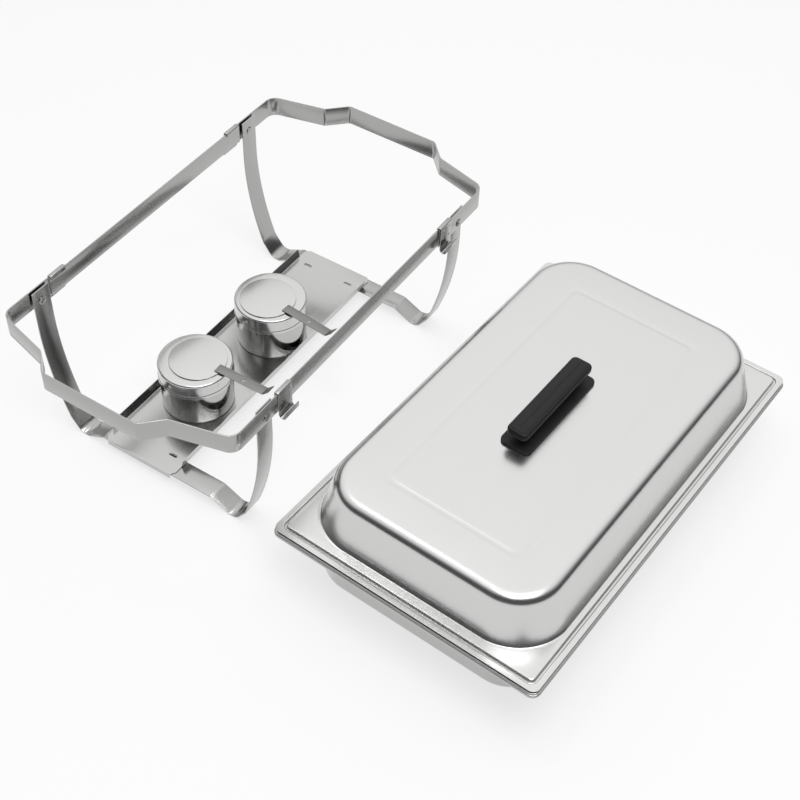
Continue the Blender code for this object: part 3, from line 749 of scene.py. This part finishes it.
pan = {
    "half": (248 * mm, 147 * mm),
    "draft": 9 * mm,
    "corner": 55 * mm,
    "floorFillet": 9 * mm,
    "neck": 4 * mm,             # wall into flange
    "rimWidth": 16.5 * mm,
    "rimCorner": 9 * mm,
    "rimStep": 1 * mm,
    "waterDepth": 71 * mm,
    "waterLip": 2.5 * mm,
    "foodDepth": 45 * mm,
    "foodInset": 5 * mm,
    "foodLip": 0.6 * mm,
    "foodRaise": 1.4 * mm,
    "foodSeat": 3 * mm,         # flange resting on the water pan
    "edge": 0.7 * mm,
    "floorRing": 120 * mm,      # from the foot to the floor's inner ring
    "leastCorner": 2 * mm,
}


def grown(station, by, z):
    return (station[0] + by, station[1] + by, max(station[2] + by, pan["leastCorner"]), z)


def rimEdge(step):
    return [half + pan["rimWidth"] - step for half in pan["half"]] + [pan["rimCorner"] - step]


def gastroPan(name, node, depth, rim, inset, step, raised, lip):
    seat = rim - raised
    top = (pan["half"][0] - inset, pan["half"][1] - inset, pan["corner"], seat)
    draft = pan["draft"] * depth / pan["waterDepth"]
    foot = grown(top, -draft, rim - depth)
    outer = rimEdge(step)
    stations = [grown(foot, -pan["floorRing"], rim - depth), foot, top]
    reaches = [0, pan["floorFillet"], pan["neck"]]
    if raised:
        seatX, seatY = (half + pan["foodSeat"] for half in pan["half"])
        stations.append((seatX, seatY, pan["rimCorner"], seat))
        stations.append((seatX + raised, seatY + raised, pan["rimCorner"], rim))
        reaches += [pan["edge"] / 2, pan["edge"] / 2]
    stations += [(*outer, rim), (*outer, rim - lip)]
    eased = softened(stations, reaches + [min(pan["edge"], lip / 2), 0])
    piece(name, pressing(eased, stack["wall"]), atStack, node, "pan_steel", panSteel, node)


lidSizes = {
    "domeInset": (5 * mm, 0.5 * mm),
    "domeDraft": (12 * mm, 15 * mm),
    "domeHeight": 60 * mm,
    "domeTopCorner": 52 * mm,
    "domeFootCorner": 62 * mm,
    "domeEdge": 11 * mm,
    "footReach": 1.6 * mm,
    "step": 2 * mm,
    "strip": 5.5 * mm,          # flat edge beyond the resting bead
    "bead": 2.4 * mm,
    "beadWidth": 4.5 * mm,
    "beadRun": 0.8 * mm,
    "beadCorner": 4 * mm,
    "beadEdge": 0.4 * mm,
    "bandHalf": (184 * mm, 84 * mm),
    "bandWidth": 8.5 * mm,
    "bandCorner": 9 * mm,
    "bandDepth": 0.35 * mm,
    "bandEdge": 3.0 * mm,
    "bandSoft": 0.6,            # share of its edge that is eased
    "bandField": 30 * mm,       # from the band to the top's inner ring
}


def lidShell(rim):
    size = lidSizes
    flange = rim + size["step"]
    under = flange + size["domeHeight"]
    base = [half - inset for half, inset in zip(pan["half"], size["domeInset"])]
    top = [half - draft for half, draft in zip(base, size["domeDraft"])]
    bandX, bandY = size["bandHalf"]
    corner, deep = size["bandCorner"], under - size["bandDepth"]
    edge, width = size["bandEdge"], size["bandWidth"]
    outer = rimEdge(pan["rimStep"])
    stripX, stripY = (half - size["strip"] for half in outer[:2])
    beadX, beadY = (half - size["strip"] - size["beadWidth"] for half in outer[:2])
    run, bead, near = size["beadRun"], rim - size["bead"], size["beadCorner"]
    far = near + size["beadWidth"]
    field = width + size["bandField"]
    stations = [
        (bandX - field, bandY - field, corner, under),
        (bandX - width, bandY - width, corner, under),
        (bandX - width + edge, bandY - width + edge, corner, deep),
        (bandX - edge, bandY - edge, corner, deep),
        (bandX, bandY, corner, under),
        (top[0], top[1], size["domeTopCorner"], under),
        (base[0], base[1], size["domeFootCorner"], flange),
        (beadX, beadY, near, flange),
        (beadX + run, beadY + run, near + run, bead),
        (stripX - run, stripY - run, far - run, bead),
        (stripX, stripY, far, rim),
        (*outer, rim),
    ]
    soft, crisp = edge * size["bandSoft"], size["beadEdge"]
    reaches = [0, soft, soft, soft, soft, size["domeEdge"], size["footReach"]] + [crisp] * 4 + [0]
    shell = pressing(softened(stations, reaches), stack["wall"])
    piece("lidShell", shell, atStack, "lid", "lid_steel", lidSteel, "lid_shell")


waterRim = pan["waterDepth"]
foodRim = waterRim + stack["wall"] + stack["gap"] + pan["foodRaise"]
lidRim = foodRim + stack["wall"] + stack["gap"] + lidSizes["bead"]
food = (pan["foodInset"], pan["rimStep"], pan["foodRaise"], pan["foodLip"])
gastroPan("waterPan", "water_pan", pan["waterDepth"], waterRim, 0, 0, 0, pan["waterLip"])
gastroPan("foodPan", "food_pan", pan["foodDepth"], foodRim, *food)
lidShell(lidRim)
print("pans and lid made")

handle = {
    "plateReach": 68.5 * mm,
    "plateHalf": 18.5 * mm,
    "plateCorner": 7.6 * mm,
    "plateEdge": 0.8 * mm,
    "gripReach": 66.5 * mm,
    "gripHalf": 12.5 * mm,
    "gripCorner": 5.7 * mm,
    "gripEdge": 2.5 * mm,
    "panelInset": 3.2 * mm,
    "panelDrop": 0.6 * mm,
    "panelCorner": 3.7 * mm,
    "panelEase": ((0.2 * mm, 0.15 * mm), (0.5 * mm, 0)),   # inset and drop of its edge
    "lineInset": 5 * mm,
    "lineHalf": 0.35 * mm,
    "lineDepth": 0.4 * mm,
    "postEdge": 0.3 * mm,
    "bore": 2.4 * mm,
    "screwHead": 2.5 * mm,
    "screwShank": 2 * mm,
}


def slab(halfX, halfY, corner, low, high, edge, steps=5):
    # a block with its upper and lower edges rounded
    rings = []
    for k in range(steps + 1):
        a = math.pi / 2 * k / steps
        inset = edge * (1 - math.sin(a))
        rings.append(roundRectangle(halfX - inset, halfY - inset, corner, low + edge * (1 - math.cos(a)), 8))
    for k in range(steps + 1):
        a = math.pi / 2 * k / steps
        inset = edge * (1 - math.cos(a))
        rings.append(roundRectangle(halfX - inset, halfY - inset, corner, high - edge * (1 - math.sin(a)), 8))
    return rings


def lidHandle():
    size = handle
    plateLow, plateHigh = span("handle_base_plate")[:2]
    outline = (size["plateReach"], size["plateHalf"], size["plateCorner"])
    plate = skin(slab(*outline, plateLow.z, plateHigh.z, size["plateEdge"]))
    piece("handlePlate", plate, atStack, "lid", "handle_plastic", blackPlastic, "handle_base_plate")
    gripLow, gripHigh = span("handle_grip")[:2]
    body = gripHigh.z - size["panelDrop"]
    rings = slab(size["gripReach"], size["gripHalf"], size["gripCorner"], gripLow.z, body, size["gripEdge"])
    panelX, panelY = (size[key] - size["panelInset"] for key in ("gripReach", "gripHalf"))
    for inset, drop in ((0, size["panelDrop"]), *size["panelEase"]):
        outline = (panelX - inset, panelY - inset, size["panelCorner"])
        rings.append(roundRectangle(*outline, gripHigh.z - drop, 8))
    made = piece("handleGrip", skin(rings), atStack, "lid", "handle_plastic", blackPlastic, "handle_grip")
    reach, half, deep = panelX - size["lineInset"], size["lineHalf"], size["lineDepth"]
    line = box(-reach, reach, -half, half, gripHigh.z - deep, gripHigh.z + deep)
    line.transform(atStack)
    carve(made, [(line, "DIFFERENCE")])
    for endName in ends:
        lidPost(endName + "_handle_post", "handle_plastic", blackPlastic)
        lidPost(endName + "_handle_washer", "fastener_steel", screwSteel)
        lidScrew(endName + "_handle_screw")


def lidPost(node, slot, material):
    low, high, middle = span(node)
    radius, tall = (high.x - low.x) / 2, high.z - low.z
    bore, edge = handle["bore"], handle["postEdge"]
    points = [(bore, 0), (radius - edge, 0), (radius, edge)]
    points += [(radius, tall - edge), (radius - edge, tall), (bore, tall)]
    place = Matrix.Translation((middle.x, middle.y, low.z))
    piece(node + "_turned", turned(points, 48, True), place, "lid", slot, material, node)


def lidScrew(node):
    low, high, middle = span(node)
    radius, head = (high.x - low.x) / 2, handle["screwHead"]
    profile = [(radius * 0.2, 0)]
    for k in range(2, 9):
        a = math.pi / 16 * k
        profile.append((radius * math.sin(a), head * (1 - math.cos(a))))
    profile += [(handle["screwShank"], head), (handle["screwShank"], high.z - low.z)]
    place = Matrix.Translation((middle.x, middle.y, low.z))
    piece(node + "_turned", turned(profile, 40), place, "lid", "fastener_steel", screwSteel, node)


lidHandle()
print("handle made")

studio = {
    "floorSize": 300.0,
    "floorDrop": 0.2 * mm,
    "floorColour": (0.95, 0.95, 0.95, 1),
    "floorGlow": 0.7,          # share of plain white in what is seen of the floor
    "sky": [(0.0, 0.07), (0.67, 0.07), (0.78, 0.36), (0.89, 0.82), (1.0, 1.0)],
    "cove": 0.03,              # height to which the floor's white runs up the walls
    "coveColour": (0.8, 0.8, 0.8, 1),
    "skyBase": 0.46,
    "skyRise": 0.5,
    "skyLean": 0.25,           # how far the light leans to the far side
    "skyTo": (0.86, 0.51, 0.0),
    "skyStrength": 1.2,
    "lampAim": (0.0, 0.15, 0.1),
    "lamps": {                 # place, length, width and power
        "overhead": ((-0.55, -0.6, 2.6), 1.7, 1.7, 27.0),
        "topStrip": ((0.28, 0.92, 2.5), 0.5, 0.3, 3.0),
    },
}


def studioFloor():
    half = studio["floorSize"] / 2
    mesh = bmesh.new()
    corners = ((-1, -1), (1, -1), (1, 1), (-1, 1))
    mesh.faces.new([mesh.verts.new((x * half, y * half, -studio["floorDrop"])) for x, y in corners])
    data = bpy.data.meshes.new("studioFloor")
    mesh.to_mesh(data)
    mesh.free()
    material = bpy.data.materials.new("paleFloor")
    material.use_nodes = True
    material.node_tree.nodes.clear()
    nodes = Nodes(material.node_tree)
    kinds = ("Is Camera Ray", "Is Glossy Ray", "Is Transmission Ray")
    camera, glossy, through = (nodes.add("ShaderNodeLightPath", output=kind) for kind in kinds)
    seen = camera.sum("MAXIMUM", camera.sum("MAXIMUM", camera, glossy), through)
    matt = nodes.add("ShaderNodeBsdfDiffuse", None, {"Color": studio["floorColour"]})
    white = nodes.add("ShaderNodeEmission", None, {"Color": (1, 1, 1, 1), "Strength": 1.0})
    mixed = nodes.add("ShaderNodeMixShader", None, {0: seen * studio["floorGlow"], 1: matt, 2: white})
    output = material.node_tree.nodes.new("ShaderNodeOutputMaterial")
    nodes.feed(output.inputs["Surface"], mixed)
    data.materials.append(material)
    made = bpy.data.objects.new("studioFloor", data)
    bpy.context.scene.collection.objects.link(made)


def studioLight():
    world = bpy.data.worlds.new("studio")
    world.use_nodes = True
    bpy.context.scene.world = world
    nodes = Nodes(world.node_tree)
    place = nodes.add("ShaderNodeTexCoord", output="Generated")
    height = nodes.add("ShaderNodeSeparateXYZ", None, {0: place}, "Z")
    across = {0: place, 1: studio["skyTo"]}
    lean = nodes.add("ShaderNodeVectorMath", {"operation": "DOT_PRODUCT"}, across, "Value")
    level = studio["skyBase"] + studio["skyRise"] * height + studio["skyLean"] * lean
    sky = nodes.add("ShaderNodeValToRGB", {"stops": studio["sky"]}, {0: level})
    low = nodes.add("ShaderNodeMath", {"operation": "LESS_THAN"}, {0: height, 1: studio["cove"]})
    background = world.node_tree.nodes["Background"]
    nodes.feed(background.inputs["Color"], nodes.blend(low, sky, studio["coveColour"]))
    background.inputs["Strength"].default_value = studio["skyStrength"]
    for name, (place, length, width, power) in studio["lamps"].items():
        lamp = bpy.data.lights.new(name, "AREA")
        lamp.shape = "RECTANGLE"
        lamp.size, lamp.size_y = length, width
        lamp.energy = power
        made = bpy.data.objects.new(name, lamp)
        made.location = place
        aim = Vector(studio["lampAim"]) - Vector(place)
        made.rotation_euler = aim.to_track_quat("-Z", "Y").to_euler()
        bpy.context.scene.collection.objects.link(made)


view = {
    "place": (-0.9785, -0.4115, 1.2815),
    "yaw": 31.36,              # from +X towards +Y
    "pitch": 47.22,            # downwards
    "roll": 2.44,
    "lens": 65.745,
    "sensor": 36.0,
}


def photoCamera():
    yaw, pitch, roll = (math.radians(view[k]) for k in ("yaw", "pitch", "roll"))
    ahead = Vector((math.cos(yaw) * math.cos(pitch), math.sin(yaw) * math.cos(pitch), -math.sin(pitch)))
    level = ahead.cross(Vector((0, 0, 1))).normalized()
    upright = level.cross(ahead)
    right = math.cos(roll) * level + math.sin(roll) * upright
    up = -math.sin(roll) * level + math.cos(roll) * upright
    turn = Matrix((right, up, -ahead)).transposed().to_4x4()
    camera = bpy.data.cameras.new("photoCamera")
    camera.lens = view["lens"]
    camera.sensor_width = view["sensor"]
    camera.clip_start = 0.05
    made = bpy.data.objects.new("photoCamera", camera)
    made.matrix_world = Matrix.Translation(view["place"]) @ turn
    bpy.context.scene.collection.objects.link(made)
    bpy.context.scene.camera = made


studioFloor()
studioLight()
photoCamera()
bpy.context.scene.view_settings.view_transform = "Standard"
print("studio and camera made")
